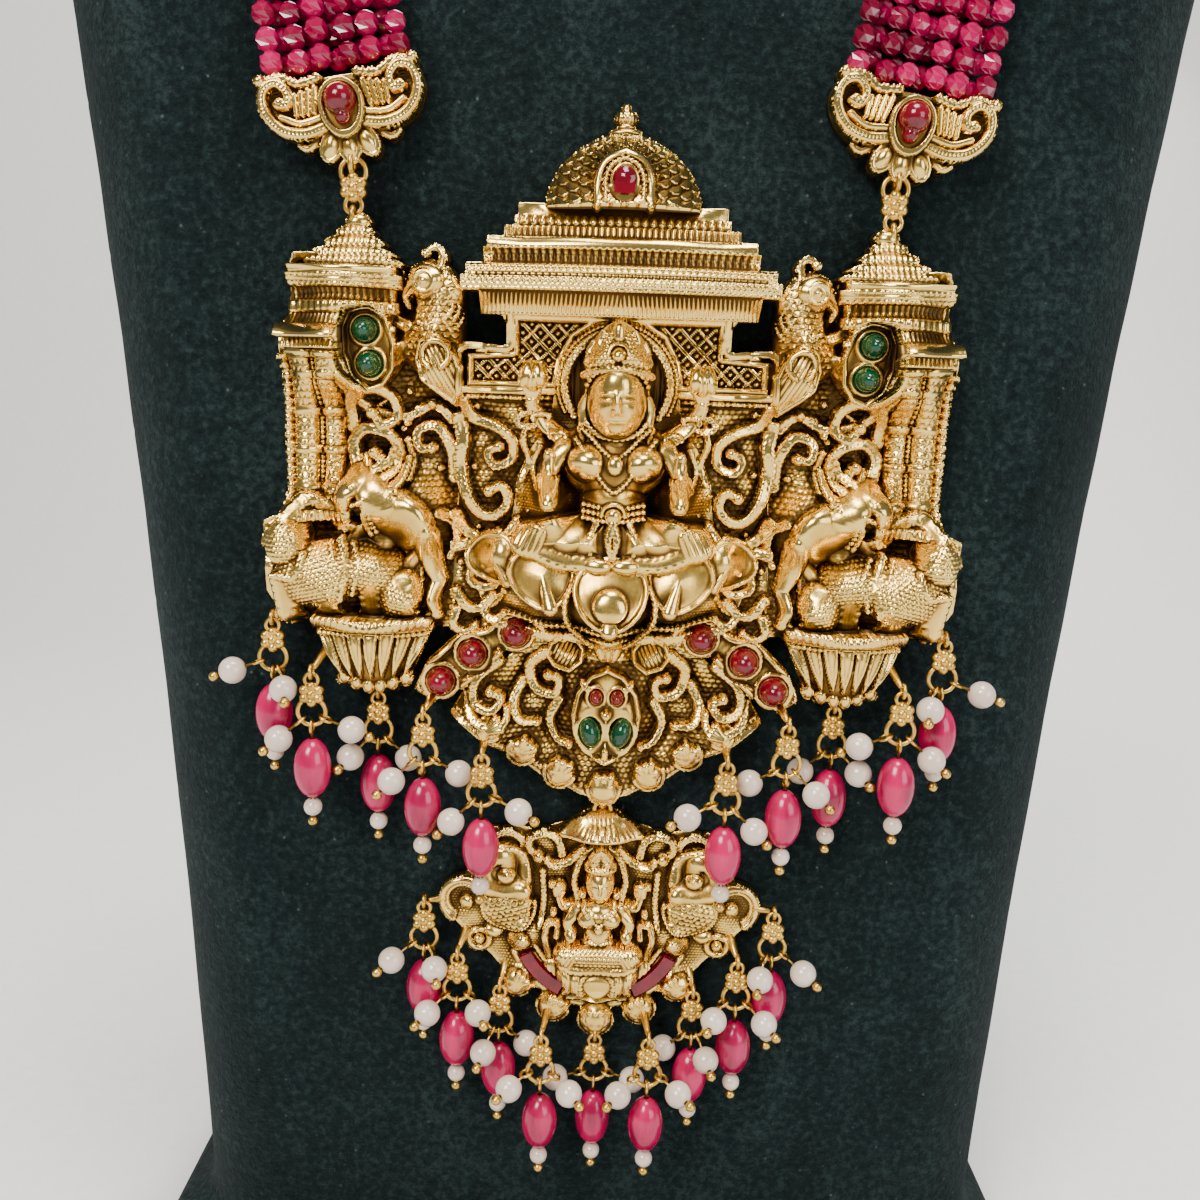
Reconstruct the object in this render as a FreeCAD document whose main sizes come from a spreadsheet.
import FreeCAD, Part
import os
from collections import namedtuple
from math import cos, degrees, hypot, radians, sin, tan

from FreeCAD import Placement, Rotation, Vector

# Temple jewellery necklace on a plain neck bust, in millimetres.
# X is to the right seen from the front, Z is up, and the front faces -Y.
# The origin is under the middle of the bust. Relief is measured as depth,
# forward of the pendant's back plane.

X_AXIS = Vector(1, 0, 0)
Y_AXIS = Vector(0, 1, 0)
Z_AXIS = Vector(0, 0, 1)
FORWARD = Vector(0, -1, 0)
RIGHT, LEFT = 1, -1
SIDES = {"right": RIGHT, "left": LEFT}

doc = FreeCAD.newDocument("TempleNecklace")

# Driving dimensions
SIZES = {
    "bust_front": -22.0,
    "bust_back": 26.0,
    "bust_top": 262.0,
    "bust_foot_half_width": 66.0,
    "bust_shoulder_half_width": 86.0,
    "bust_shoulder_height": 238.0,
    "bust_edge_round": 16.0,
    "bust_shoulder_round": 22.0,
    "plinth_half_width": 72.0,
    "plinth_half_depth": 42.0,
    "plinth_height": 10.0,
    "neck_half_width": 37.0,
    "neck_half_depth": 19.0,
    "neck_top": 306.0,
    "velvet_gap": 0.5,
    "strand_pitch": 3.45,
    "strand_count": 6,
    "bundle_thickness": 5.0,
    "strand_lean": 10.5,
    "strand_foot_x": 39.37,
    "strand_foot_height": 193.65,
    "bar_width": 21.6,
    "bar_height": 6.4,
    "bar_depth": 7.0,
    "bar_centre_x": 38.4,
    "bar_centre_height": 188.4,
    "clearance": 0.15,
    "wire": 0.33,
    "pin_wire": 0.22,
    "pin_loop": 0.92,
    "small_ring": 0.95,
    "small_wire": 0.28,
    "flower_radius": 1.9,
    "cluster_ring": 2.0,
    "bead_half_length": 4.5,
    "bead_radius": 2.7,
    "pearl_radius": 2.0,
    "seed_radius": 1.35,
    "tip_radius": 0.75,
    "drill": 0.42,
    "pivot_height": 89.0,
    "pivot_wire": 0.36,
    "pivot_ring": 1.25,
    "pivot_depth": 1.9,
    "dome_radius": 10.6,
    "dome_foot": 176.2,
    "dome_height": 13.9,
    "cabochon_wing": 2.35,
    "cabochon_peacock": 1.9,
    "plate_thickness": 1.6,
    "main_grid": 1.4,
    "lower_grid": 1.1,
}

sheet = doc.addObject("Spreadsheet::Sheet", "Sizes")
for line, (alias, value) in enumerate(SIZES.items(), start=1):
    sheet.set("A%d" % line, alias)
    sheet.set("B%d" % line, str(value))
    sheet.setAlias("B%d" % line, alias)
doc.recompute()


def size(alias):
    """Value of one driving dimension, read back from the sheet."""
    return float(sheet.get(alias))


PLATE_BACK = size("bust_front") - size("velvet_gap")
nodes = []


def node(item, label):
    """Register a document object as a finished sub-part."""
    item.Label = label
    nodes.append(item)
    return item


def spot(x, depth, height):
    """Point in the row frame from a place on the relief."""
    return Vector(x, PLATE_BACK - depth, height)


def solid(kind, name, where, **bound):
    """Add a primitive and bind its sizes to expressions or numbers."""
    item = doc.addObject(kind, name)
    for prop, value in bound.items():
        if isinstance(value, str):
            item.setExpression(prop, value)
        else:
            setattr(item, prop, value)
    item.Placement = where
    return item


def shaped(name, shape):
    """Add a free-form piece whose shape comes from sheet sizes."""
    item = doc.addObject("Part::Feature", name)
    item.Shape = shape
    return item


def fused(name, members):
    """Join overlapping pieces into one solid."""
    item = doc.addObject("Part::MultiFuse", name)
    item.Shapes = members
    item.Refine = False
    return item


def carved(name, base, tool):
    """Cut a tool from a base piece."""
    item = doc.addObject("Part::Cut", name)
    item.Base = base
    item.Tool = tool
    item.Refine = False
    return item


# Small forms that the castings are built from
def ball(name, x, depth, height, radius):
    """Round ball on the relief."""
    return solid("Part::Sphere", name, Placement(spot(x, depth, height), Rotation()), Radius=radius)


def block(name, x, half_width, low, high, back, front):
    """Rectangular bar of the relief, centred on x."""
    where = Placement(Vector(x - half_width, PLATE_BACK - front, low), Rotation())
    return solid("Part::Box", name, where, Length=2 * half_width, Width=front - back, Height=high - low)


def stud(name, x, height, radius, back, front):
    """Round boss that faces forward."""
    where = Placement(spot(x, back, height), Rotation(Z_AXIS, FORWARD))
    return solid("Part::Cylinder", name, where, Radius=radius, Height=front - back)


def limb(name, start, end, radius_start, radius_end):
    """Tapered limb between two points of the relief, with round ends."""
    run = end - start
    where = Placement(start, Rotation(Z_AXIS, run))
    middle = solid("Part::Cone", name + "_shaft", where,
                   Radius1=radius_start, Radius2=radius_end, Height=run.Length)
    first = solid("Part::Sphere", name + "_root", Placement(start, Rotation()), Radius=radius_start)
    last = solid("Part::Sphere", name + "_tip", Placement(end, Rotation()), Radius=radius_end)
    return [middle, first, last]


def ring_facing(name, x, depth, height, ring, wire):
    """Closed wire ring seen face-on."""
    where = Placement(spot(x, depth, height), Rotation(X_AXIS, 90))
    return solid("Part::Torus", name, where, Radius1=ring, Radius2=wire)


def ring_edge_on(name, x, depth, height, ring, wire):
    """Closed wire ring seen from its edge, open to left and right."""
    where = Placement(spot(x, depth, height), Rotation(Y_AXIS, 90))
    return solid("Part::Torus", name, where, Radius1=ring, Radius2=wire)


# Relief: a cast surface worked out from named forms. Each form gives, for a
# place (x, height), how far inside its edge the place is and how deep the
# form stands there. The right half is written down and mirrored.
Pod = namedtuple("Pod", "label x depth height half_x half_z turn")
Bar = namedtuple("Bar", "label x half_width low high depth")
Moulding = namedtuple("Moulding", "label x half_width low high depth bow")
Curl = namedtuple("Curl", "label x depth height ring wire")
Limb = namedtuple("Limb", "label x height x_end height_end depth radius radius_end")
Turned = namedtuple("Turned", "label x depth profile")
Leaf = namedtuple("Leaf", "label depth outline")
RimAndDepth = namedtuple("RimAndDepth", "inside depth")


def dome(depth, radius, away):
    """Round section of a form that stands on its own width."""
    return RimAndDepth(radius - away, depth + max(radius * radius - away * away, 0.0) ** 0.5)


def to_segment(x, height, x_one, height_one, x_two, height_two):
    """Distance to a straight line and how far along it the nearest point is."""
    run_x, run_z = x_two - x_one, height_two - height_one
    length = max(run_x * run_x + run_z * run_z, 1e-9)
    share = max(0.0, min(1.0, ((x - x_one) * run_x + (height - height_one) * run_z) / length))
    return hypot(x - x_one - share * run_x, height - height_one - share * run_z), share


def at_pod(form, x, height):
    """Round-ended mass, long across or upright and then turned."""
    radius = min(form.half_x, form.half_z)
    straight = max(form.half_x, form.half_z) - radius
    turn = radians(form.turn + (90 if form.half_x > form.half_z else 0))
    reach_x, reach_z = straight * sin(turn), straight * cos(turn)
    away, share = to_segment(x, height, form.x - reach_x, form.height - reach_z,
                             form.x + reach_x, form.height + reach_z)
    return dome(form.depth, radius, away)


def at_bar(form, x, height):
    """Flat rectangular field."""
    inside = min(form.half_width - abs(x - form.x), height - form.low, form.high - height)
    return RimAndDepth(inside, form.depth)


def at_moulding(form, x, height):
    """Straight moulding whose front bows forward."""
    off = (x - form.x) / form.half_width
    inside = min(form.half_width - abs(x - form.x), height - form.low, form.high - height)
    return RimAndDepth(inside, form.depth + form.bow * (1 - min(off * off, 1.0)))


def at_curl(form, x, height):
    """Wire ring or spiral lying in the plane of the relief."""
    away = abs(hypot(x - form.x, height - form.height) - form.ring)
    return dome(form.depth, form.wire, away)


def at_limb(form, x, height):
    """Tapered limb between two places."""
    away, share = to_segment(x, height, form.x, form.height, form.x_end, form.height_end)
    radius = form.radius + share * (form.radius_end - form.radius)
    return dome(form.depth, radius, away)


def at_turned(form, x, height):
    """Half of a turned form; the profile rows are (radius, height) upwards."""
    rows = form.profile
    inside = min(height - rows[0][1], rows[-1][1] - height)
    radius = rows[0][0]
    for (radius_low, low), (radius_high, high) in zip(rows, rows[1:]):
        if height >= low:
            radius = radius_low + (radius_high - radius_low) * min((height - low) / (high - low), 1.0)
    away = abs(x - form.x)
    across = dome(form.depth, radius, away)
    return RimAndDepth(min(inside, across.inside), across.depth)


def at_leaf(form, x, height):
    """Flat leaf inside a closed outline."""
    crossings, nearest = 0, 1e9
    rows = form.outline
    for (x_one, one), (x_two, two) in zip(rows, rows[1:] + rows[:1]):
        away, share = to_segment(x, height, x_one, one, x_two, two)
        nearest = min(nearest, away)
        if (one > height) != (two > height):
            if x < x_one + (height - one) / (two - one) * (x_two - x_one):
                crossings += 1
    return RimAndDepth(nearest if crossings % 2 else -nearest, form.depth)


READERS = {Pod: at_pod, Bar: at_bar, Moulding: at_moulding, Curl: at_curl,
           Limb: at_limb, Turned: at_turned, Leaf: at_leaf}


def surface_at(forms, x, height):
    """Edge distance and depth of the deepest form at a place, both halves alike."""
    inside, depth = -1e9, size("plate_thickness")
    for form in forms:
        here = READERS[type(form)](form, abs(x), height)
        inside = max(inside, here.inside)
        if here.inside > -0.05:
            depth = max(depth, here.depth)
    return RimAndDepth(inside, depth)


class Relief:
    """Cast surface read on a square grid, closed by walls and a flat back.

    Grid triangles that cross the outline are cut along it, and each cut is a
    step of the rim, which carries one piece of wall."""

    def __init__(self, forms, pitch, half_width, low, high):
        self.forms = forms
        self.points, self.numbers = [], {}
        self.faces, self.rim = [], {}
        self.columns = int(2 * half_width / pitch) + 1
        self.lines = int((high - low) / pitch) + 1
        left = -0.5 * (self.columns - 1) * pitch
        self.grid = {}
        for i in range(self.columns):
            for j in range(self.lines):
                x, height = left + i * pitch, low + j * pitch
                self.grid[i, j] = (x, height, surface_at(forms, x, height))

    def place(self, key, point):
        """Number of a vertex, made the first time that its key comes up."""
        if key not in self.numbers:
            self.numbers[key] = len(self.points)
            self.points.append(point)
        return self.numbers[key]

    def corner(self, key):
        """Vertex on a place of the grid."""
        x, height, here = self.grid[key]
        return self.place(key, spot(x, here.depth, height))

    def crossing(self, key_in, key_out):
        """Vertex where the outline cuts a grid line."""
        x_in, height_in, inner = self.grid[key_in]
        x_out, height_out, outer = self.grid[key_out]
        share = min(max(inner.inside / (inner.inside - outer.inside), 0.2), 0.8)
        x = x_in + share * (x_out - x_in)
        height = height_in + share * (height_out - height_in)
        return self.place((key_in, key_out), spot(x, surface_at(self.forms, x, height).depth, height))

    def at_back(self, number):
        """Vertex on the flat back, behind a vertex of the rim."""
        point = self.points[number]
        return self.place(("back", number), Vector(point.x, PLATE_BACK, point.z))

    def cut_triangle(self, trio):
        """Front faces inside the outline and the rim's step across them."""
        loop, cuts = [], []
        for key, after in zip(trio, trio[1:] + trio[:1]):
            here, following = self.grid[key][2].inside > 0, self.grid[after][2].inside > 0
            if here:
                loop.append(self.corner(key))
            if here != following:
                ends = (key, after) if here else (after, key)
                loop.append(self.crossing(*ends))
                cuts.append(loop[-1])
        for index in range(1, len(loop) - 1):
            self.faces.append((loop[0], loop[index], loop[index + 1]))
        if cuts:
            following = loop[(loop.index(cuts[0]) + 1) % len(loop)] == cuts[1]
            first, second = cuts if following else cuts[::-1]
            self.rim[first] = second

    def build_front(self):
        """Two triangles for each grid square."""
        for i in range(self.columns - 1):
            for j in range(self.lines - 1):
                low_left, low_right = (i, j), (i + 1, j)
                high_right, high_left = (i + 1, j + 1), (i, j + 1)
                self.cut_triangle((low_left, low_right, high_right))
                self.cut_triangle((low_left, high_right, high_left))

    def build_walls(self):
        """Walls from the rim to the back plane."""
        for first, second in self.rim.items():
            self.faces.append((second, first, self.at_back(first)))
            self.faces.append((second, self.at_back(first), self.at_back(second)))

    def build_back(self):
        """Flat back between the rim's closed loops, the outer one first."""
        loops, waiting = [], dict(self.rim)
        while waiting:
            start, step = waiting.popitem()
            loop = [start]
            while step != start:
                loop.append(step)
                step = waiting.pop(step)
            loops.append([self.points[self.at_back(number)] for number in loop])
        wires = [Part.makePolygon(loop + loop[:1]) for loop in loops]
        wires.sort(key=lambda wire: wire.BoundBox.DiagonalLength, reverse=True)
        corners, faces = Part.Face(wires).tessellate(1.0)
        at_place = {(round(point.x, 4), round(point.z, 4)): self.at_back(number)
                    for number in self.rim for point in [self.points[number]]}
        numbers = [at_place[round(corner.x, 4), round(corner.z, 4)] for corner in corners]
        for face in faces:
            one, two, three = (corners[index] for index in face)
            to_back = (two - one).cross(three - one).y > 0
            trio = tuple(numbers[index] for index in face)
            self.faces.append(trio if to_back else trio[::-1])

    def solid(self):
        """Closed solid of all the faces."""
        self.build_front()
        self.build_walls()
        self.build_back()
        shell = Part.Shape()
        shell.makeShapeFromMesh((self.points, self.faces), 0.001)
        form = Part.makeSolid(shell)
        if form.Volume < 0:
            form.reverse()
        return form


# Neck bust: a plain velvet-covered form that flares to the shoulders
def build_bust():
    """Padded bust board with rounded edges, a neck stub and a plinth."""
    body = doc.addObject("PartDesign::Body", "Bust")
    planes = {plane.Role: plane for plane in body.Origin.OriginFeatures}
    foot, top = 0.0, size("bust_top")
    wide_foot, wide_top = size("bust_foot_half_width"), size("bust_shoulder_half_width")
    shoulder = size("bust_shoulder_height")
    corner = size("bust_shoulder_round")
    sag = 2.6

    outline = body.newObject("Sketcher::SketchObject", "BustOutline")
    outline.AttachmentSupport = [(planes["XZ_Plane"], "")]
    outline.MapMode = "FlatFace"
    outline.AttachmentOffset = Placement(Vector(0, 0, -size("bust_back")), Rotation())
    middle_width = 0.5 * (wide_foot + wide_top) - sag
    middle_height = 0.5 * (foot + shoulder)
    bend = corner * (1 - cos(radians(45)))
    path = [
        Part.LineSegment(Vector(-wide_foot, foot, 0), Vector(wide_foot, foot, 0)),
        Part.Arc(Vector(wide_foot, foot, 0), Vector(middle_width, middle_height, 0),
                 Vector(wide_top, shoulder, 0)),
        Part.Arc(Vector(wide_top, shoulder, 0), Vector(wide_top - bend, top - bend, 0),
                 Vector(wide_top - corner, top, 0)),
        Part.LineSegment(Vector(wide_top - corner, top, 0), Vector(corner - wide_top, top, 0)),
        Part.Arc(Vector(corner - wide_top, top, 0), Vector(bend - wide_top, top - bend, 0),
                 Vector(-wide_top, shoulder, 0)),
        Part.Arc(Vector(-wide_top, shoulder, 0), Vector(-middle_width, middle_height, 0),
                 Vector(-wide_foot, foot, 0)),
    ]
    for piece in path:
        outline.addGeometry(piece, False)
    board = body.newObject("PartDesign::Pad", "BustBoard")
    board.Profile = outline
    board.setExpression("Length", "Sizes.bust_back - Sizes.bust_front")
    doc.recompute()

    rounds = []
    for number, edge in enumerate(board.Shape.Edges, start=1):
        on_face = edge.BoundBox.YLength < 0.01
        if on_face and edge.BoundBox.ZMax > 1.0:
            rounds.append("Edge%d" % number)
    soft = body.newObject("PartDesign::Fillet", "BustEdges")
    soft.Base = (board, rounds)
    soft.setExpression("Radius", "Sizes.bust_edge_round")
    doc.recompute()

    collar = body.newObject("Sketcher::SketchObject", "NeckOutline")
    collar.AttachmentSupport = [(planes["XY_Plane"], "")]
    collar.MapMode = "FlatFace"
    middle_depth = 0.5 * (size("bust_front") + size("bust_back"))
    collar.AttachmentOffset = Placement(Vector(0, middle_depth, top - 12), Rotation())
    half_deep = size("neck_half_depth")
    straight = size("neck_half_width") - half_deep
    for side in (LEFT, RIGHT):
        collar.addGeometry(Part.LineSegment(Vector(-straight, side * half_deep, 0),
                                            Vector(straight, side * half_deep, 0)), False)
        collar.addGeometry(Part.Arc(Vector(side * straight, -half_deep, 0),
                                    Vector(side * (straight + half_deep), 0, 0),
                                    Vector(side * straight, half_deep, 0)), False)
    neck = body.newObject("PartDesign::Pad", "Neck")
    neck.Profile = collar
    neck.setExpression("Length", "Sizes.neck_top - Sizes.bust_top + 12")
    doc.recompute()

    foot_sketch = body.newObject("Sketcher::SketchObject", "PlinthOutline")
    foot_sketch.AttachmentSupport = [(planes["XY_Plane"], "")]
    foot_sketch.MapMode = "FlatFace"
    half_x, half_y = size("plinth_half_width"), size("plinth_half_depth")
    corners = [Vector(-half_x, -half_y, 0), Vector(half_x, -half_y, 0),
               Vector(half_x, half_y, 0), Vector(-half_x, half_y, 0)]
    for first, second in zip(corners, corners[1:] + corners[:1]):
        foot_sketch.addGeometry(Part.LineSegment(first, second), False)
    plinth = body.newObject("PartDesign::Pad", "Plinth")
    plinth.Profile = foot_sketch
    plinth.setExpression("Length", "Sizes.plinth_height")
    doc.recompute()

    upright = []
    for number, edge in enumerate(plinth.Shape.Edges, start=1):
        box = edge.BoundBox
        at_corner = abs(abs(box.Center.x) - half_x) < 0.1 and abs(abs(box.Center.y) - half_y) < 0.1
        if at_corner and box.ZLength > 1:
            upright.append("Edge%d" % number)
    eased = body.newObject("PartDesign::Fillet", "PlinthCorners")
    eased.Base = (plinth, upright)
    eased.Radius = 14
    body.Tip = eased
    return node(body, "display_bust")


# Strands: a flat bundle of bead strings that lies on the bust
Station = namedtuple("Station", "x y height out_y out_z")


def strand_stations(side):
    """Places along the bundle's middle line, with the outward direction."""
    lift = size("velvet_gap") + 0.5 * size("bundle_thickness")
    front, back = size("bust_front"), size("bust_back")
    bend = size("bust_edge_round")
    crest = size("bust_top") - bend
    lean = tan(radians(size("strand_lean")))
    foot_x, foot = size("strand_foot_x"), size("strand_foot_height")
    top_x = foot_x + (crest - foot) * lean
    rows = []
    for height in (foot, crest):
        rows.append(Station(foot_x + (height - foot) * lean, front - lift, height, -1, 0))
    for turn in (15, 30, 45, 60, 75, 90):
        out_y, out_z = -cos(radians(turn)), sin(radians(turn))
        x = top_x + 3.0 * sin(radians(turn))
        rows.append(Station(x, front + bend + (bend + lift) * out_y, crest + (bend + lift) * out_z, out_y, out_z))
    for turn in (90, 75, 60, 45, 30, 15, 0):
        out_y, out_z = cos(radians(turn)), sin(radians(turn))
        x = top_x + 3.0 - 5.0 * cos(radians(turn))
        rows.append(Station(x, back - bend + (bend + lift) * out_y, crest + (bend + lift) * out_z, out_y, out_z))
    rows.append(Station(43.0, back + lift, crest - 9, 1, 0))
    rows.append(Station(36.0, back + lift, crest - 18, 1, 0))
    rows.append(Station(26.0, back + lift, crest - 29, 1, 0))
    return [Station(side * row.x, row.y, row.height, row.out_y, row.out_z) for row in rows]


def build_strands(name, side):
    """Bundle lofted through flat sections along the strands."""
    rows = strand_stations(side)
    half_width = 0.5 * size("strand_pitch") * size("strand_count")
    half_thick = 0.5 * size("bundle_thickness")
    centres = [Vector(row.x, row.y, row.height) for row in rows]
    sections = []
    for index, row in enumerate(rows):
        before = centres[max(index - 1, 0)]
        after = centres[min(index + 1, len(rows) - 1)]
        along = (after - before).normalize()
        out = Vector(0, row.out_y, row.out_z)
        across = along.cross(out).normalize()
        out = across.cross(along).normalize()
        corners = [centres[index] + across * half_width * a + out * half_thick * b
                   for a, b in ((-1, -1), (1, -1), (1, 1), (-1, 1))]
        sections.append(Part.makePolygon(corners + corners[:1]))
    bundle = Part.makeLoft(sections, True, True)
    return node(shaped("Strands_" + name, bundle), "bead_strands_" + name)


# End bars: scrolled gold spacers that gather the strands
def build_end_bar(name, side):
    """Spacer bar with scroll ends, a pear collet and a hanging eye."""
    lean = side * size("strand_lean")
    centre = spot(side * size("bar_centre_x"), 0, size("bar_centre_height"))
    tilt = Placement(centre, Rotation(Y_AXIS, lean))
    width, height, depth = size("bar_width"), size("bar_height"), size("bar_depth")

    def local(x, forward, up):
        return tilt.multVec(Vector(x, -forward, up))

    def piece(kind, label, x, forward, up, turn=Rotation(), **bound):
        where = Placement(local(x, forward, up), tilt.Rotation * turn)
        return solid(kind, "Bar_%s_%s" % (name, label), where, **bound)

    parts = [piece("Part::Box", "core", -0.5 * width + 1.2, depth - 1.4, -1.4,
                   Length=width - 2.4, Width=depth - 1.6, Height=height - 1.6)]
    facing = Rotation(X_AXIS, 90)
    for end in (-1, 1):
        parts.append(piece("Part::Torus", "leaf%d" % (end + 2), end * 5.6, 4.6, 0.9, facing,
                           Radius1=3.1, Radius2=1.15))
        parts.append(piece("Part::Sphere", "leafball%d" % (end + 2), end * 5.6, 4.6, 0.9, Radius=1.7))
        parts.append(piece("Part::Torus", "curl%d" % (end + 2), end * 9.0, 3.8, -0.6, facing,
                           Radius1=1.5, Radius2=0.75))
        parts.append(piece("Part::Cylinder", "top%d" % (end + 2), end * 0.5 * width, 3.6, height - 2.3,
                           Rotation(Y_AXIS, -90 * end), Radius=1.0, Height=0.5 * width))
        parts.append(piece("Part::Cone", "petal%d" % (end + 2), end * 1.6, 3.8, -2.4,
                           Rotation(Y_AXIS, 180 - 22 * end), Radius1=1.5, Radius2=0.7, Height=3.0))
    parts.append(piece("Part::Cone", "petal_mid", 0, 4.2, -2.4, Rotation(Y_AXIS, 180),
                       Radius1=1.7, Radius2=0.8, Height=3.2))
    parts.append(piece("Part::Cylinder", "collet", 0, 2.5, 0.6, facing, Radius=3.0, Height=4.4))
    parts.append(piece("Part::Cylinder", "collet_tip", 0, 2.5, -1.7, facing, Radius=1.9, Height=4.4))
    eye = local(0, 4.0, -6.4)
    parts.append(solid("Part::Torus", "Bar_%s_eye" % name, Placement(eye, Rotation(Y_AXIS, 90)),
                       Radius1=1.3, Radius2=0.4))
    casting = fused("Bar_%s_casting" % name, parts)
    seat_round = piece("Part::Cylinder", "seat_round", 0, 5.4, 0.6, facing, Radius=2.35, Height=4)
    seat_tip = piece("Part::Cylinder", "seat_tip", 0, 5.4, -1.6, facing, Radius=1.3, Height=4)
    seat = fused("Bar_%s_seat" % name, [seat_round, seat_tip])
    node(carved("Bar_%s" % name, casting, seat), "end_bar_" + name)

    gap = size("clearance")
    where = Placement(local(0, 5.4 + gap, 0.6), tilt.Rotation * facing)
    dome = solid("Part::Ellipsoid", "Bar_%s_ruby_dome" % name, where,
                 Radius1=2.6, Radius2=2.35 - gap, Radius3=2.35 - gap, Angle1=0.0, Angle2=90.0)
    where = Placement(local(0, 5.4 + gap, -1.6), tilt.Rotation * facing)
    tip = solid("Part::Ellipsoid", "Bar_%s_ruby_tip" % name, where,
                Radius1=1.5, Radius2=1.3 - gap, Radius3=1.3 - gap, Angle1=0.0, Angle2=90.0)
    node(fused("Bar_%s_ruby" % name, [dome, tip]), "end_bar_ruby_" + name)
    return eye


# Flower links join the end bars to the towers of the main pendant
def rosette(name, x, depth, height, radius):
    """Seven-ball flower on a small disc."""
    bead = 0.4 * radius
    parts = [stud(name + "_disc", x, height, 0.72 * radius, depth - 0.5, depth + 0.2),
             ball(name + "_heart", x, depth + 0.2, height, bead)]
    for petal in range(6):
        turn = radians(60 * petal + 30)
        reach = 0.62 * radius
        parts.append(ball("%s_bead%d" % (name, petal), x + reach * cos(turn), depth,
                          height + reach * sin(turn), bead))
    return parts


def build_flower_link(name, side):
    """Rosette with a ring above and a ring below."""
    x = side * 37.1
    parts = rosette("Link_" + name, x, 4.0, 177.9, size("flower_radius") + 0.15)
    parts.append(ring_facing("Link_%s_top" % name, x, 4.0, 179.95, 1.75, 0.35))
    parts.append(ring_facing("Link_%s_foot" % name, x, 4.0, 175.6, 1.15, 0.35))
    return node(fused("Link_" + name, parts), "flower_link_" + name)


# Main pendant
ROOF = [
    Moulding("cap", 0, 14.3, 175.1, 176.6, 7.6, 2.6),
    Moulding("swag", 0, 13.6, 172.9, 175.4, 6.9, 2.6),
    Moulding("beads", 0, 16.2, 171.3, 173.1, 8.2, 2.6),
    Moulding("ledge", 0, 18.3, 169.9, 171.5, 9.3, 2.8),
    Moulding("cove", 0, 19.0, 168.1, 170.1, 9.4, 2.8),
    Moulding("slope", 0, 20.6, 166.8, 168.4, 10.4, 2.9),
    Moulding("eave", 0, 21.8, 165.0, 167.0, 11.4, 3.0),
    Moulding("soffit", 0, 19.8, 163.6, 165.2, 8.6, 2.4),
    Moulding("frieze", 0, 18.4, 161.3, 163.9, 5.6, 2.0),
]

SCREEN = [
    Bar("plate_middle", 0, 44.6, 121.5, 157.0, 1.8),
    Bar("plate_upper", 0, 32.0, 156.0, 163.0, 1.8),
    Bar("plate_lower", 0, 24.0, 112.0, 122.4, 1.8),
    Bar("frame_top", 0, 16.3, 160.2, 161.8, 5.2),
    Bar("frame_upright", 15.6, 0.9, 156.2, 161.5, 5.0),
    Bar("frame_step", 18.4, 3.4, 155.6, 157.2, 4.8),
    Bar("lattice_upper", 0, 15.2, 152.0, 160.6, 2.9),
    Bar("lattice_lower", 0, 21.6, 152.0, 156.2, 2.9),
    Bar("frame_rail", 16.6, 5.0, 150.9, 152.3, 4.6),
    Bar("frieze_side", 18.4, 2.4, 157.0, 162.0, 4.4),
]

TOWER = [
    Moulding("turret", 37.9, 5.8, 156.0, 166.0, 6.0, 4.6),
    Moulding("battlement", 37.9, 7.7, 165.4, 168.9, 6.4, 5.0),
    Moulding("torus", 39.8, 7.2, 156.0, 158.8, 8.0, 6.0),
    Moulding("bracket", 39.4, 5.4, 150.6, 156.2, 5.6, 5.0),
    Bar("tower_back", 38.0, 7.4, 148.0, 168.0, 4.0),
    Turned("cap", 37.1, 3.0, [(5.4, 168.6), (5.0, 170.0), (2.8, 172.0), (1.3, 173.2), (1.2, 173.7)]),
    Limb("column_outer", 44.5, 132.0, 44.5, 155.5, 3.2, 1.1, 1.1),
    Limb("column_inner", 40.6, 138.0, 40.6, 155.0, 3.0, 0.9, 0.9),
]

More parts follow.
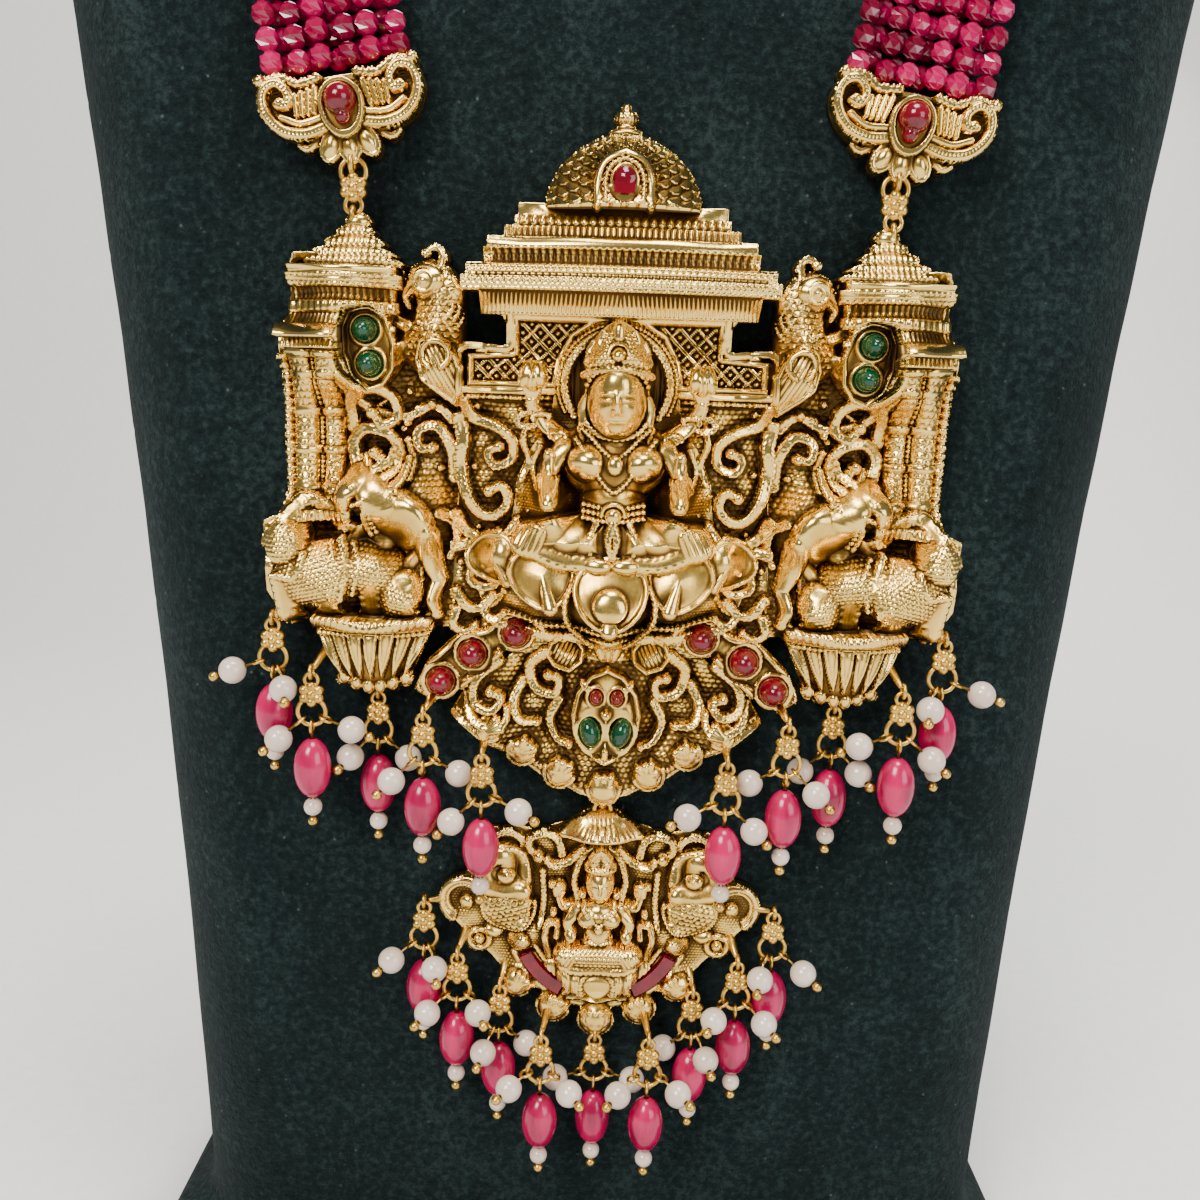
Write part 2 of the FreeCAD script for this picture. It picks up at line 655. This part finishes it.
CREATURES = [
    Pod("peacock_wing", 25.0, 7.2, 155.2, 3.5, 4.9, 14),
    Pod("peacock_wing_tip", 22.6, 6.6, 151.6, 1.8, 3.2, 38),
    Pod("peacock_chest", 26.4, 5.6, 159.4, 3.0, 3.6, 0),
    Limb("peacock_neck", 24.2, 160.2, 23.4, 165.2, 6.2, 2.3, 1.8),
    Limb("peacock_head", 23.6, 165.6, 27.2, 165.8, 6.8, 1.8, 2.1),
    Limb("peacock_beak", 27.4, 165.2, 29.4, 162.8, 7.0, 1.6, 0.8),
    Curl("peacock_crest", 26.2, 5.0, 169.2, 1.3, 0.6),
    Pod("horse_body", 30.6, 6.4, 134.0, 5.2, 2.7, 28),
    Pod("horse_hip", 26.9, 6.6, 131.6, 2.7, 3.8, -8),
    Pod("horse_head", 38.0, 7.6, 135.8, 1.7, 3.3, 15),
    Pod("horse_chest", 34.6, 6.8, 136.2, 2.9, 2.9, 0),
    Limb("horse_neck", 33.6, 136.8, 37.6, 138.2, 6.6, 2.3, 1.6),
    Limb("horse_foreleg", 35.0, 134.8, 37.8, 131.8, 6.8, 1.3, 0.8),
    Limb("horse_thigh", 27.2, 130.4, 28.2, 127.6, 6.4, 1.9, 1.2),
    Limb("horse_shank", 28.2, 127.6, 25.7, 123.8, 6.0, 1.2, 0.9),
    Limb("horse_pastern", 25.7, 123.8, 25.8, 119.6, 5.6, 0.9, 0.9),
    Pod("elephant_body", 42.6, 6.4, 124.4, 7.2, 4.6, -28),
    Pod("elephant_head", 46.2, 8.0, 129.6, 3.0, 3.3, 0),
    Pod("elephant_ear", 47.9, 6.4, 132.4, 1.6, 2.8, 25),
    Pod("elephant_hump", 36.2, 6.0, 125.0, 5.6, 3.4, 12),
    Pod("elephant_hind", 30.4, 5.6, 120.8, 3.6, 3.9, 20),
    Pod("elephant_foot", 46.4, 5.8, 121.7, 3.0, 3.0, 0),
    Curl("elephant_trunk", 41.4, 6.6, 131.4, 3.4, 1.2),
]

BOWL = [
    Turned("bowl", 34.6, 0.4, [(4.0, 107.2), (6.6, 109.0), (8.0, 112.2), (8.8, 115.8), (8.8, 117.4)]),
    Turned("bowl_rim", 34.6, 0.8, [(9.0, 116.2), (9.4, 117.0), (9.2, 117.9)]),
    Bar("bowl_back", 34.6, 8.6, 115.0, 126.0, 3.6),
]

FIGURE = [
    Curl("halo", 0, 3.2, 152.4, 7.3, 0.9),
    Pod("head", 0, 7.6, 150.6, 4.7, 5.4, 0),
    Pod("crown", 0, 7.2, 155.2, 5.0, 5.0, 0),
    Pod("crown_peak", 0, 6.6, 158.0, 2.7, 3.8, 0),
    Pod("throat", 0, 6.2, 144.4, 2.1, 3.2, 0),
    Pod("chest", 0, 6.0, 141.6, 6.6, 3.6, 0),
    Pod("waist", 0, 6.0, 136.2, 3.8, 5.4, 0),
    Pod("buckle", 0, 9.0, 133.9, 1.4, 1.4, 0),
    Pod("lap", 0, 6.2, 129.8, 11.6, 3.7, 0),
    Pod("knee", 9.4, 6.8, 130.2, 5.2, 2.9, 8),
    Pod("shoulder", 6.2, 5.6, 143.2, 2.6, 2.6, 0),
    Pod("breast", 3.7, 8.2, 141.7, 2.8, 2.8, 0),
    Limb("upper_arm", 6.8, 142.8, 9.8, 138.2, 6.0, 1.9, 1.5),
    Limb("forearm", 9.8, 138.2, 9.1, 135.0, 9.0, 1.5, 1.3),
    Pod("palm", 9.1, 10.8, 136.6, 1.9, 3.0, 0),
    Limb("rear_arm", 6.8, 143.4, 12.2, 143.8, 4.0, 1.5, 1.3),
    Curl("stem_ring", 12.7, 5.0, 146.9, 1.9, 0.9),
    Pod("lotus_bud", 11.7, 6.0, 153.0, 2.7, 2.5, 0),
]

LOTUS = [
    Pod("throne", 0, 5.0, 123.4, 12.0, 4.2, 0),
    Pod("petal_middle", 0, 6.8, 121.0, 5.6, 5.6, 0),
    Curl("petal_rim", 0, 9.4, 121.2, 5.0, 1.0),
    Pod("petal_near", 8.5, 6.4, 123.0, 4.0, 5.3, 14),
    Pod("petal_far", 14.4, 5.4, 126.3, 3.4, 5.6, 30),
    Pod("bud", 0, 5.0, 113.8, 1.9, 3.4, 0),
]

TENDRILS = [
    Curl("comma_low", 16.9, 3.8, 136.8, 2.4, 1.0),
    Curl("comma_high", 16.6, 3.4, 143.6, 2.1, 0.9),
    Curl("mane", 25.3, 3.6, 144.2, 2.2, 1.0),
    Curl("saddle", 31.8, 4.4, 141.6, 3.0, 1.1),
    Curl("plume", 33.0, 4.2, 148.0, 2.8, 1.1),
    Curl("beside_lotus", 18.8, 4.2, 124.6, 3.2, 1.0),
    Curl("under_lotus", 22.2, 3.4, 118.6, 1.7, 0.9),
    Curl("drop_scroll", 10.2, 2.6, 108.6, 3.3, 0.9),
    Curl("low_spiral", 16.8, 4.8, 102.7, 2.4, 1.4),
    Curl("crescent_spiral", 20.8, 2.6, 107.4, 1.6, 0.9),
]

WING = [(7.0, 115.0), (7.6, 117.3), (12.0, 119.6), (16.4, 118.9), (17.8, 117.3), (21.2, 116.8),
        (23.1, 114.2), (23.6, 112.6), (26.4, 111.8), (27.6, 108.4), (29.6, 105.8), (26.4, 104.4),
        (21.6, 106.4), (17.2, 109.8), (12.6, 113.0)]
WING_STONES = {"inner": (13.6, 116.2), "middle": (20.0, 112.9), "outer": (24.6, 108.6)}
PEACOCK_SETTING = [(31.2, 153.2), (30.9, 157.0), (32.2, 160.6), (36.0, 162.4), (38.2, 160.4),
                   (38.2, 156.0), (36.8, 152.6), (34.6, 150.6)]
PEACOCK_STONES = {"upper": (35.0, 158.9), "lower": (34.4, 154.3)}
DROP = [(0.0, 111.8), (3.1, 108.8), (5.2, 105.0), (5.0, 100.9), (2.8, 98.0), (0.0, 97.0),
        (-2.8, 98.0), (-5.0, 100.9), (-5.2, 105.0), (-3.1, 108.8)]


def main_forms():
    """All forms of the main pendant's relief."""
    foot, reach, tall = size("dome_foot"), size("dome_radius"), size("dome_height")
    roof_dome = Turned("dome", 0, 0.4, [
        (reach - 0.3, foot), (reach, foot + 0.2 * tall), (0.86 * reach, foot + 0.42 * tall),
        (0.6 * reach, foot + 0.6 * tall), (0.33 * reach, foot + 0.73 * tall), (2.2, foot + 0.79 * tall),
        (3.1, foot + 0.86 * tall), (2.2, foot + 0.94 * tall), (0.9, foot + tall)])
    niche = [Bar("niche", 0, 4.4, foot, foot + 4.4, 11.6), Bar("niche_inner", 0, 2.9, foot, foot + 5.6, 12.2),
             Bar("niche_arch", 0, 3.3, foot + 4.3, foot + 7.6, 10.6)]
    crescent = [Leaf("crescent", 2.0, [(17.4 * sin(radians(turn)), 112.4 - 17.4 * cos(radians(turn)))
                                       for turn in range(-100, 101, 20)])]
    rim = Curl("crescent_rim", 0, 2.2, 112.4, 16.4, 1.1)
    fringe = [Pod("fringe_centre", 0, 4.4, 93.3, 3.2, 2.5, 0), Pod("fringe_mid", 6.7, 3.4, 95.6, 2.6, 2.9, -28),
              Pod("fringe_side", 11.9, 3.2, 98.6, 2.6, 2.8, -48)]
    settings = [Leaf("wing", 6.2, WING), Leaf("peacock_setting", 9.4, PEACOCK_SETTING), Leaf("drop", 6.4, DROP),
                Pod("heart_leaf", 6.2, 2.6, 112.6, 3.2, 2.2, -35)]
    return (ROOF + SCREEN + TOWER + CREATURES + BOWL + FIGURE + LOTUS + TENDRILS
            + [roof_dome, rim] + niche + crescent + fringe + settings)


DropStone = namedtuple("DropStone", "label x height half_x half_z turn")
DROP_STONES = [
    DropStone("drop_ruby", 1.55, 107.0, 1.15, 1.3, 0),
    DropStone("drop_emerald", 2.3, 101.6, 1.7, 2.5, 14),
]


def oval_stone(name, x, depth, height, half_x, half_z, rise, turn=0.0):
    """Domed oval stone with a flat base, facing forward."""
    where = Placement(spot(x, depth, height), Rotation(Y_AXIS, turn) * Rotation(X_AXIS, 90))
    return solid("Part::Ellipsoid", name, where,
                 Radius1=rise, Radius2=half_x, Radius3=half_z, Angle1=0.0, Angle2=90.0)


def oval_pocket(name, x, depth, height, half_x, half_z, turn=0.0):
    """Oval recess, open to the front."""
    face = Part.Face(Part.Wire(Part.Ellipse(Vector(0, 0, 0), half_z, half_x).toShape()))
    form = face.extrude(Vector(0, 0, 8))
    form.Placement = Placement(spot(x, depth, height),
                               Rotation(Y_AXIS, turn) * Rotation(X_AXIS, 90) * Rotation(Z_AXIS, 90))
    return shaped(name, form)


def build_main_pendant(eyes):
    """Cast and soldered main pendant: one solid with seats for its stones."""
    body = shaped("PendantRelief", Relief(main_forms(), size("main_grid"), 53.0, 88.0, 192.0).solid())
    fixed = [ring_edge_on("Pivot_eye", 0, size("pivot_depth"), size("pivot_height") + size("pivot_ring"),
                          size("pivot_ring"), size("pivot_wire"))]
    for side_name, side in SIDES.items():
        fixed.append(ring_edge_on("Cap_eye_" + side_name, side * 37.1, 4.0, 174.2, 1.1, 0.4))
    whole = fused("PendantWhole", [body] + fixed + eyes)
    foot = size("dome_foot")
    pockets = [block("Niche_pocket", 0, 1.5, foot + 0.9, foot + 3.0, 11.2, 16),
               stud("Niche_pocket_arch", 0, foot + 3.0, 1.5, 11.2, 16)]
    for side_name, side in SIDES.items():
        for row in DROP_STONES:
            pockets.append(oval_pocket("%s_pocket_%s" % (row.label, side_name), side * row.x, 4.4, row.height,
                                       row.half_x, row.half_z, side * row.turn))
        for name, (x, height) in WING_STONES.items():
            pockets.append(stud("Wing_pocket_%s_%s" % (name, side_name), side * x, height,
                                size("cabochon_wing"), 3.6, 9.0))
        for name, (x, height) in PEACOCK_STONES.items():
            pockets.append(stud("Peacock_pocket_%s_%s" % (name, side_name), side * x, height,
                                size("cabochon_peacock"), 6.4, 16.0))
    node(carved("MainPendant", whole, fused("CentrePockets", pockets)), "main_pendant")

    gap = size("clearance")
    ruby_low = block("Dome_ruby_foot", 0, 1.5 - gap, foot + 0.9 + gap, foot + 3.0, 11.2 + gap, 12.4)
    ruby_arch = stud("Dome_ruby_arch", 0, foot + 3.0, 1.5 - gap, 11.2 + gap, 12.4)
    node(fused("Dome_ruby", [ruby_low, ruby_arch]), "dome_ruby")
    for side_name, side in SIDES.items():
        for name, (x, height) in WING_STONES.items():
            radius = size("cabochon_wing") - gap
            stone = oval_stone("Wing_%s_%s" % (name, side_name), side * x, 3.6 + gap, height, radius, radius, 3.4)
            node(stone, "wing_ruby_%s_%s" % (name, side_name))
        for name, (x, height) in PEACOCK_STONES.items():
            radius = size("cabochon_peacock") - gap
            stone = oval_stone("Peacock_%s_%s" % (name, side_name), side * x, 6.4 + gap, height, radius, radius, 3.6)
            node(stone, "peacock_emerald_%s_%s" % (name, side_name))
        for row in DROP_STONES:
            stone = oval_stone("%s_%s" % (row.label, side_name), side * row.x, 4.4 + gap, row.height,
                               row.half_x - gap, row.half_z - gap, 2.2, side * row.turn)
            node(stone, "%s_%s" % (row.label, side_name))


# Lower pendant
LOWER_OUTLINE = [(5.0, 86.4), (10.0, 84.4), (16.4, 84.8), (18.4, 82.8), (18.8, 78.4), (21.4, 75.2),
                 (24.0, 73.4), (22.4, 69.8), (19.0, 66.4), (15.4, 62.4), (10.4, 59.2), (5.0, 56.8)]
LOWER_FORMS = [
    Leaf("plate", 1.6, LOWER_OUTLINE + [(-x, height) for x, height in LOWER_OUTLINE[::-1]]),
    Turned("shell", 0, 0.4, [(5.6, 83.4), (5.9, 84.6), (4.4, 86.4), (2.0, 87.3)]),
    Curl("peacock_coil", 14.6, 2.3, 74.6, 3.2, 1.8),
    Pod("peacock_breast", 14.6, 3.0, 74.6, 2.5, 2.5, 0),
    Pod("peacock_tail", 10.4, 2.6, 68.4, 3.4, 2.2, 30),
    Limb("peacock_neck", 18.4, 75.6, 17.0, 79.0, 2.8, 1.5, 1.4),
    Pod("peacock_head", 15.6, 2.9, 79.6, 2.0, 2.0, 0),
    Curl("ring", 21.6, 2.0, 72.8, 2.5, 0.9),
    Curl("top_near", 9.4, 2.2, 82.0, 1.8, 0.9),
    Curl("top_far", 15.0, 2.0, 82.8, 1.6, 0.8),
    Curl("side_low", 18.6, 2.0, 67.4, 1.8, 0.8),
    Curl("halo", 0, 2.6, 77.6, 4.4, 0.8),
    Pod("pillar", 7.4, 2.8, 72.8, 1.2, 6.6, 0),
    Pod("head", 0, 5.0, 77.3, 2.1, 2.6, 0),
    Pod("crown", 0, 4.6, 80.2, 1.7, 3.0, 0),
    Pod("chest", 0, 4.4, 72.4, 3.6, 2.3, 0),
    Pod("waist", 0, 4.3, 69.2, 1.9, 3.2, 0),
    Limb("arm", 3.2, 72.6, 4.6, 69.4, 4.8, 1.0, 0.9),
    Pod("lap", 0, 4.2, 65.6, 5.8, 2.2, 0),
    Pod("knee", 3.9, 4.8, 65.6, 3.1, 1.9, 8),
    Pod("throne", 0, 3.3, 61.8, 6.2, 2.7, 0),
    Pod("throne_petal", 4.4, 4.0, 61.4, 2.4, 2.6, 20),
    Pod("fringe_centre", 0, 3.0, 55.6, 2.6, 3.2, 0),
    Pod("fringe_mid", 6.6, 2.9, 56.8, 2.4, 2.8, -20),
    Pod("fringe_side", 11.6, 2.7, 61.0, 2.3, 2.6, -42),
]
BAND_INNER, BAND_OUTER, BAND_CENTRE = 11.4, 13.6, 70.6
BAND_STARTS = {"left": 206, "right": 296}
BAND_SWEEP = 38


def band_sector(name, depth, front, inner, outer, start, sweep):
    """Curved band segment, an arc of the ruby inlay."""
    centre = Vector(0, 0, BAND_CENTRE)

    def point(radius, turn):
        return centre + Vector(radius * cos(radians(turn)), 0, radius * sin(radians(turn)))

    middle, end = start + 0.5 * sweep, start + sweep
    edges = [
        Part.Arc(point(outer, start), point(outer, middle), point(outer, end)).toShape(),
        Part.makeLine(point(outer, end), point(inner, end)),
        Part.Arc(point(inner, end), point(inner, middle), point(inner, start)).toShape(),
        Part.makeLine(point(inner, start), point(outer, start)),
    ]
    form = Part.Face(Part.Wire(edges)).extrude(FORWARD * (front - depth))
    form.translate(Vector(0, PLATE_BACK - depth, 0))
    return shaped(name, form)


def hanging_ring_height():
    """Centre of the lower pendant's ring, hung on the fixed eye's wire."""
    running_gap = 0.1
    return size("pivot_height") + 2 * size("pivot_wire") + running_gap - size("pivot_ring")


def build_lower_pendant(eyes):
    """Small pendant with a seated figure between two peacocks."""
    body = shaped("LowerRelief", Relief(LOWER_FORMS, size("lower_grid"), 28.0, 50.0, 89.0).solid())
    setting = band_sector("Band_setting", 1.0, 3.6, BAND_INNER - 0.5, BAND_OUTER + 0.5, 200, 140)
    ring = ring_facing("Lower_hanging_ring", 0, size("pivot_depth"), hanging_ring_height(),
                       size("pivot_ring"), size("pivot_wire"))
    whole = fused("LowerWhole", [body, setting, ring] + eyes)
    pockets = [band_sector("Band_pocket_" + name, 2.2, 9.0, BAND_INNER, BAND_OUTER, start, BAND_SWEEP)
               for name, start in BAND_STARTS.items()]
    node(carved("LowerPendant", whole, fused("Band_pockets", pockets)), "lower_pendant")
    gap = size("clearance")
    turn_gap = degrees(gap / BAND_INNER)
    for name, start in BAND_STARTS.items():
        inlay = band_sector("Band_" + name, 2.2 + gap, 3.9, BAND_INNER + gap, BAND_OUTER - gap,
                            start + turn_gap, BAND_SWEEP - 2 * turn_gap)
        node(inlay, "ruby_band_" + name)


# Hanging clusters: flower link, ruby bead and two pearls
# turn is measured from straight down, positive to the right; nod is forward
Cluster = namedtuple("Cluster", "label group x height depth anchor pearls")
Anchor = namedtuple("Anchor", "x depth height")
Pearl = namedtuple("Pearl", "turn nod")


def cluster_rows():
    """Places of all clusters, the left ones mirrored from the right ones."""
    right = [
        Cluster("1", "main", 49.1, 114.2, 5.1, Anchor(46.8, 5.0, 121.0), [Pearl(70, 4), Pearl(-30, 56)]),
        Cluster("2", "main", 42.6, 107.2, 9.0, Anchor(41.0, 4.2, 113.6), [Pearl(49, 6), Pearl(-63, -13)]),
        Cluster("3", "main", 34.0, 103.1, 3.3, Anchor(34.7, 2.6, 108.6), [Pearl(46, 47), Pearl(-44, -7)]),
        Cluster("4", "main", 26.7, 101.2, 7.6, Anchor(25.9, 4.6, 106.0), [Pearl(47, 26), Pearl(-56, -13)]),
        Cluster("5", "main", 17.8, 96.0, 9.8, Anchor(18.0, 5.2, 100.0), [Pearl(44, 2), Pearl(-69, 25)]),
    ]
    lower = [
        Cluster("1", "lower", 27.0, 69.9, 3.3, Anchor(24.2, 2.2, 73.2), [Pearl(58, 38), Pearl(-30, 62)]),
        Cluster("2", "lower", 21.6, 62.3, 5.0, Anchor(20.6, 2.0, 68.2), [Pearl(57, 48), Pearl(-60, 62)]),
        Cluster("3", "lower", 15.1, 56.5, 3.8, Anchor(14.4, 1.8, 62.4), [Pearl(30, 61), Pearl(-43, -14)]),
        Cluster("4", "lower", 8.2, 51.2, 9.0, Anchor(7.4, 3.0, 56.4), [Pearl(75, 52), Pearl(-69, 51)]),
    ]
    middle = Cluster("5", "lower", 0.0, 48.6, 3.7, Anchor(0.0, 3.0, 54.0), [Pearl(73, 0), Pearl(-73, 0)])
    rows = []
    for side_name, side in SIDES.items():
        for row in right + lower:
            pearls = [Pearl(side * pearl.turn, pearl.nod) for pearl in row.pearls]
            label = "%s_%s" % (side_name, row.label)
            anchor = Anchor(side * row.anchor.x, row.anchor.depth, row.anchor.height)
            rows.append(Cluster(label, row.group, side * row.x, row.height, row.depth, anchor, pearls))
    rows.append(middle._replace(label="middle"))
    return rows


def cluster_eye(row):
    """Small eye on the pendant that carries a cluster, with its stalk."""
    name = "Eye_%s_%s" % (row.group, row.label)
    eye_height = row.height + size("flower_radius") + 1.45
    ring = ring_edge_on(name, row.x, row.depth, eye_height, 0.95, 0.3)
    end = spot(row.anchor.x, row.anchor.depth, row.anchor.height)
    centre = spot(row.x, row.depth, eye_height)
    towards = end - centre
    towards.x = 0
    stalk = limb(name + "_stalk", centre + towards.normalize() * 0.95, end, 0.42, 0.75)
    return [ring] + stalk


def build_cluster(row, flowers, pins, pearls):
    """Add one cluster's solids to its groups and return its ruby bead."""
    name = "C_%s_%s" % (row.group, row.label)
    wire, pin = size("wire"), size("pin_wire")
    ring = size("cluster_ring")
    gap = 0.12

    # Flower with a small ring above, through the eye, and the large jump ring below
    parts = rosette(name + "_flower", row.x, row.depth, row.height, size("flower_radius"))
    parts.append(ring_facing(name + "_top", row.x, row.depth, row.height + size("flower_radius") + 0.25,
                             "Sizes.small_ring", "Sizes.small_wire"))
    ring_height = row.height - 2.6
    parts.append(ring_facing(name + "_ring", row.x, row.depth, ring_height, "Sizes.cluster_ring", "Sizes.wire"))
    flowers.append(fused(name + "_link", parts))

    loop = size("pin_loop")
    loop_drop = ring + (loop - pin - wire - gap)

    def along(turn, nod, reach):
        """Point at a reach from the jump ring's centre."""
        hook = Vector(sin(radians(turn)), 0, -cos(radians(turn)))
        lean = Rotation(hook.cross(FORWARD).normalize(), nod)
        base = spot(row.x, row.depth, ring_height) + hook * loop_drop
        return base + lean.multVec(hook) * (reach - loop_drop), lean.multVec(hook), base

    def headpin(label, turn, nod, tip_reach):
        """Wire loop round the jump ring, a stem and a ball tip."""
        tip, direction, base = along(turn, nod, tip_reach)
        hook = Vector(sin(radians(turn)), 0, -cos(radians(turn)))
        plane = hook.cross(FORWARD).normalize()
        where = Placement(base, Rotation(-direction, Vector(), plane, "ZXY"))
        eye = solid("Part::Torus", "%s_%s_loop" % (name, label), where,
                    Radius1="Sizes.pin_loop", Radius2="Sizes.pin_wire")
        foot = base + direction * (loop - 0.1)
        stem = solid("Part::Cylinder", "%s_%s_stem" % (name, label),
                     Placement(foot, Rotation(Z_AXIS, direction)), Radius="0.85 * Sizes.pin_wire",
                     Height=(tip - foot).Length)
        knob = solid("Part::Sphere", "%s_%s_knob" % (name, label), Placement(tip, Rotation(Z_AXIS, direction)),
                     Radius="Sizes.tip_radius")
        pins.append(fused("%s_%s_pin" % (name, label), [eye, stem, knob]))
        return direction

    def drilled(label, centre, direction, half_long, half_wide):
        """Round or oval bead, drilled along its pin."""
        turn = Rotation(Z_AXIS, direction)
        bead = solid("Part::Ellipsoid", "%s_%s" % (name, label), Placement(centre, turn),
                     Radius1=half_long, Radius2=half_wide, Radius3=half_wide)
        hole = solid("Part::Cylinder", "%s_%s_drill" % (name, label),
                     Placement(centre - direction * 2 * half_long, turn),
                     Radius="Sizes.drill", Height=4 * half_long)
        return carved("%s_%s_bead" % (name, label), bead, hole)

    # Ruby bead with a seed pearl below it
    half = size("bead_half_length")
    seed, tip = size("seed_radius"), size("tip_radius")
    bead_reach = ring + 2 * loop + half + 0.15
    seed_reach = bead_reach + half + seed + gap
    direction = headpin("ruby", 0, 0, seed_reach + seed + tip + 0.1)
    centre, direction, base = along(0, 0, bead_reach)
    ruby = drilled("ruby", centre, direction, half, size("bead_radius"))
    seed_centre, direction, base = along(0, 0, seed_reach)
    pearls.append(drilled("seed", seed_centre, direction, seed, seed))

    # Side pearls
    radius = size("pearl_radius")
    for number, pearl in enumerate(row.pearls):
        label = "pearl%d" % number
        reach = ring + 2 * loop + radius + 0.5
        centre, direction, base = along(pearl.turn, pearl.nod, reach)
        headpin(label, pearl.turn, pearl.nod, reach + radius + tip + 0.1)
        pearls.append(drilled(label, centre, direction, radius, radius))
    return node(ruby, "ruby_bead_%s_%s" % (row.group, row.label))


def compound(name, members, label):
    """One node of loose solids that hang clear of each other."""
    item = doc.addObject("Part::Compound", name)
    item.Links = members
    return node(item, label)


# Back of the loop: spacer bars and a plain clasp
def build_back():
    """Spacer bar at each back end and one plain clasp between them."""
    for name, side in SIDES.items():
        rows = strand_stations(side)
        last, before = rows[-1], rows[-2]
        end = Vector(last.x, last.y, last.height)
        run = (end - Vector(before.x, before.y, before.height)).normalize()
        centre = end + run * (size("clearance") + 1.4)
        turn = Rotation(Z_AXIS, run)
        half = 0.5 * size("strand_pitch") * size("strand_count") + 0.6
        across = run.cross(Vector(0, 1, 0)).normalize()
        frame = Placement(centre, Rotation(across, Vector(0, 1, 0), run, "ZXY"))
        bar = solid("Part::Box", "Back_%s_box" % name, frame * Placement(Vector(-half, -2.6, -1.4), Rotation()),
                    Length=2 * half, Width=5.2, Height=2.8)
        tongue = solid("Part::Cone", "Back_%s_cone" % name, Placement(centre, turn),
                       Radius1=2.5, Radius2=1.2, Height=11.5)
        ring_centre = centre + run * 12.6
        ring = solid("Part::Torus", "Back_%s_ring" % name,
                     Placement(ring_centre, Rotation(Z_AXIS, Vector(0, 1, 0))), Radius1=1.8, Radius2=0.5)
        node(fused("Back_" + name, [bar, tongue, ring]), "back_bar_" + name)
    return ring_centre


def build_clasp(ring_centre):
    """Plain bar with an eye at each end, linked through the back rings."""
    reach = abs(ring_centre.x)
    height, depth = ring_centre.z, ring_centre.y
    parts = []
    for side in (LEFT, RIGHT):
        where = Placement(Vector(side * (reach - 2.25), depth, height), Rotation())
        parts.append(solid("Part::Torus", "Clasp_eye%d" % (side + 1), where, Radius1=1.6, Radius2=0.45))
    length = 2 * (reach - 2.25 - 1.6)
    where = Placement(Vector(-0.5 * length, depth, height), Rotation(Y_AXIS, 90))
    parts.append(solid("Part::Cylinder", "Clasp_bar", where, Radius=1.1, Height=length))
    return node(fused("Clasp", parts), "clasp")


build_bust()
for side_name, side_sign in SIDES.items():
    build_strands(side_name, side_sign)
    build_end_bar(side_name, side_sign)
    build_flower_link(side_name, side_sign)

clusters = cluster_rows()
main_eyes, lower_eyes = [], []
for row in clusters:
    (main_eyes if row.group == "main" else lower_eyes).extend(cluster_eye(row))
build_main_pendant(main_eyes)
build_lower_pendant(lower_eyes)

groups = {"main_left": [], "main_right": [], "lower": []}
for row in clusters:
    key = row.group if row.group == "lower" else "main_" + row.label.split("_")[0]
    groups[key].append(row)
for key, rows in groups.items():
    flowers, pins, pearls = [], [], []
    for row in rows:
        build_cluster(row, flowers, pins, pearls)
    compound("Flowers_" + key, flowers, "cluster_links_" + key)
    compound("Pins_" + key, pins, "bead_pins_" + key)
    compound("Pearls_" + key, pearls, "pearls_" + key)

build_clasp(build_back())
doc.recompute()

# Nothing is written until every object and every sub-part is sound
for item in doc.Objects:
    if "Invalid" in item.State or "Error" in item.State:
        raise RuntimeError("object failed: %s %s" % (item.Name, item.State))
loose_groups = ("cluster_links_", "bead_pins_", "pearls_")
for item in nodes:
    if item.Shape.isNull() or not item.Shape.isValid() or item.Shape.Volume < 1.0:
        raise RuntimeError("sub-part is not sound: %s" % item.Label)
    if len(item.Shape.Solids) != 1 and not item.Label.startswith(loose_groups):
        raise RuntimeError("sub-part is not one solid: %s" % item.Label)

os.makedirs("parts", exist_ok=True)
for item in nodes:
    item.Shape.exportStep("parts/%s.step" % item.Label)
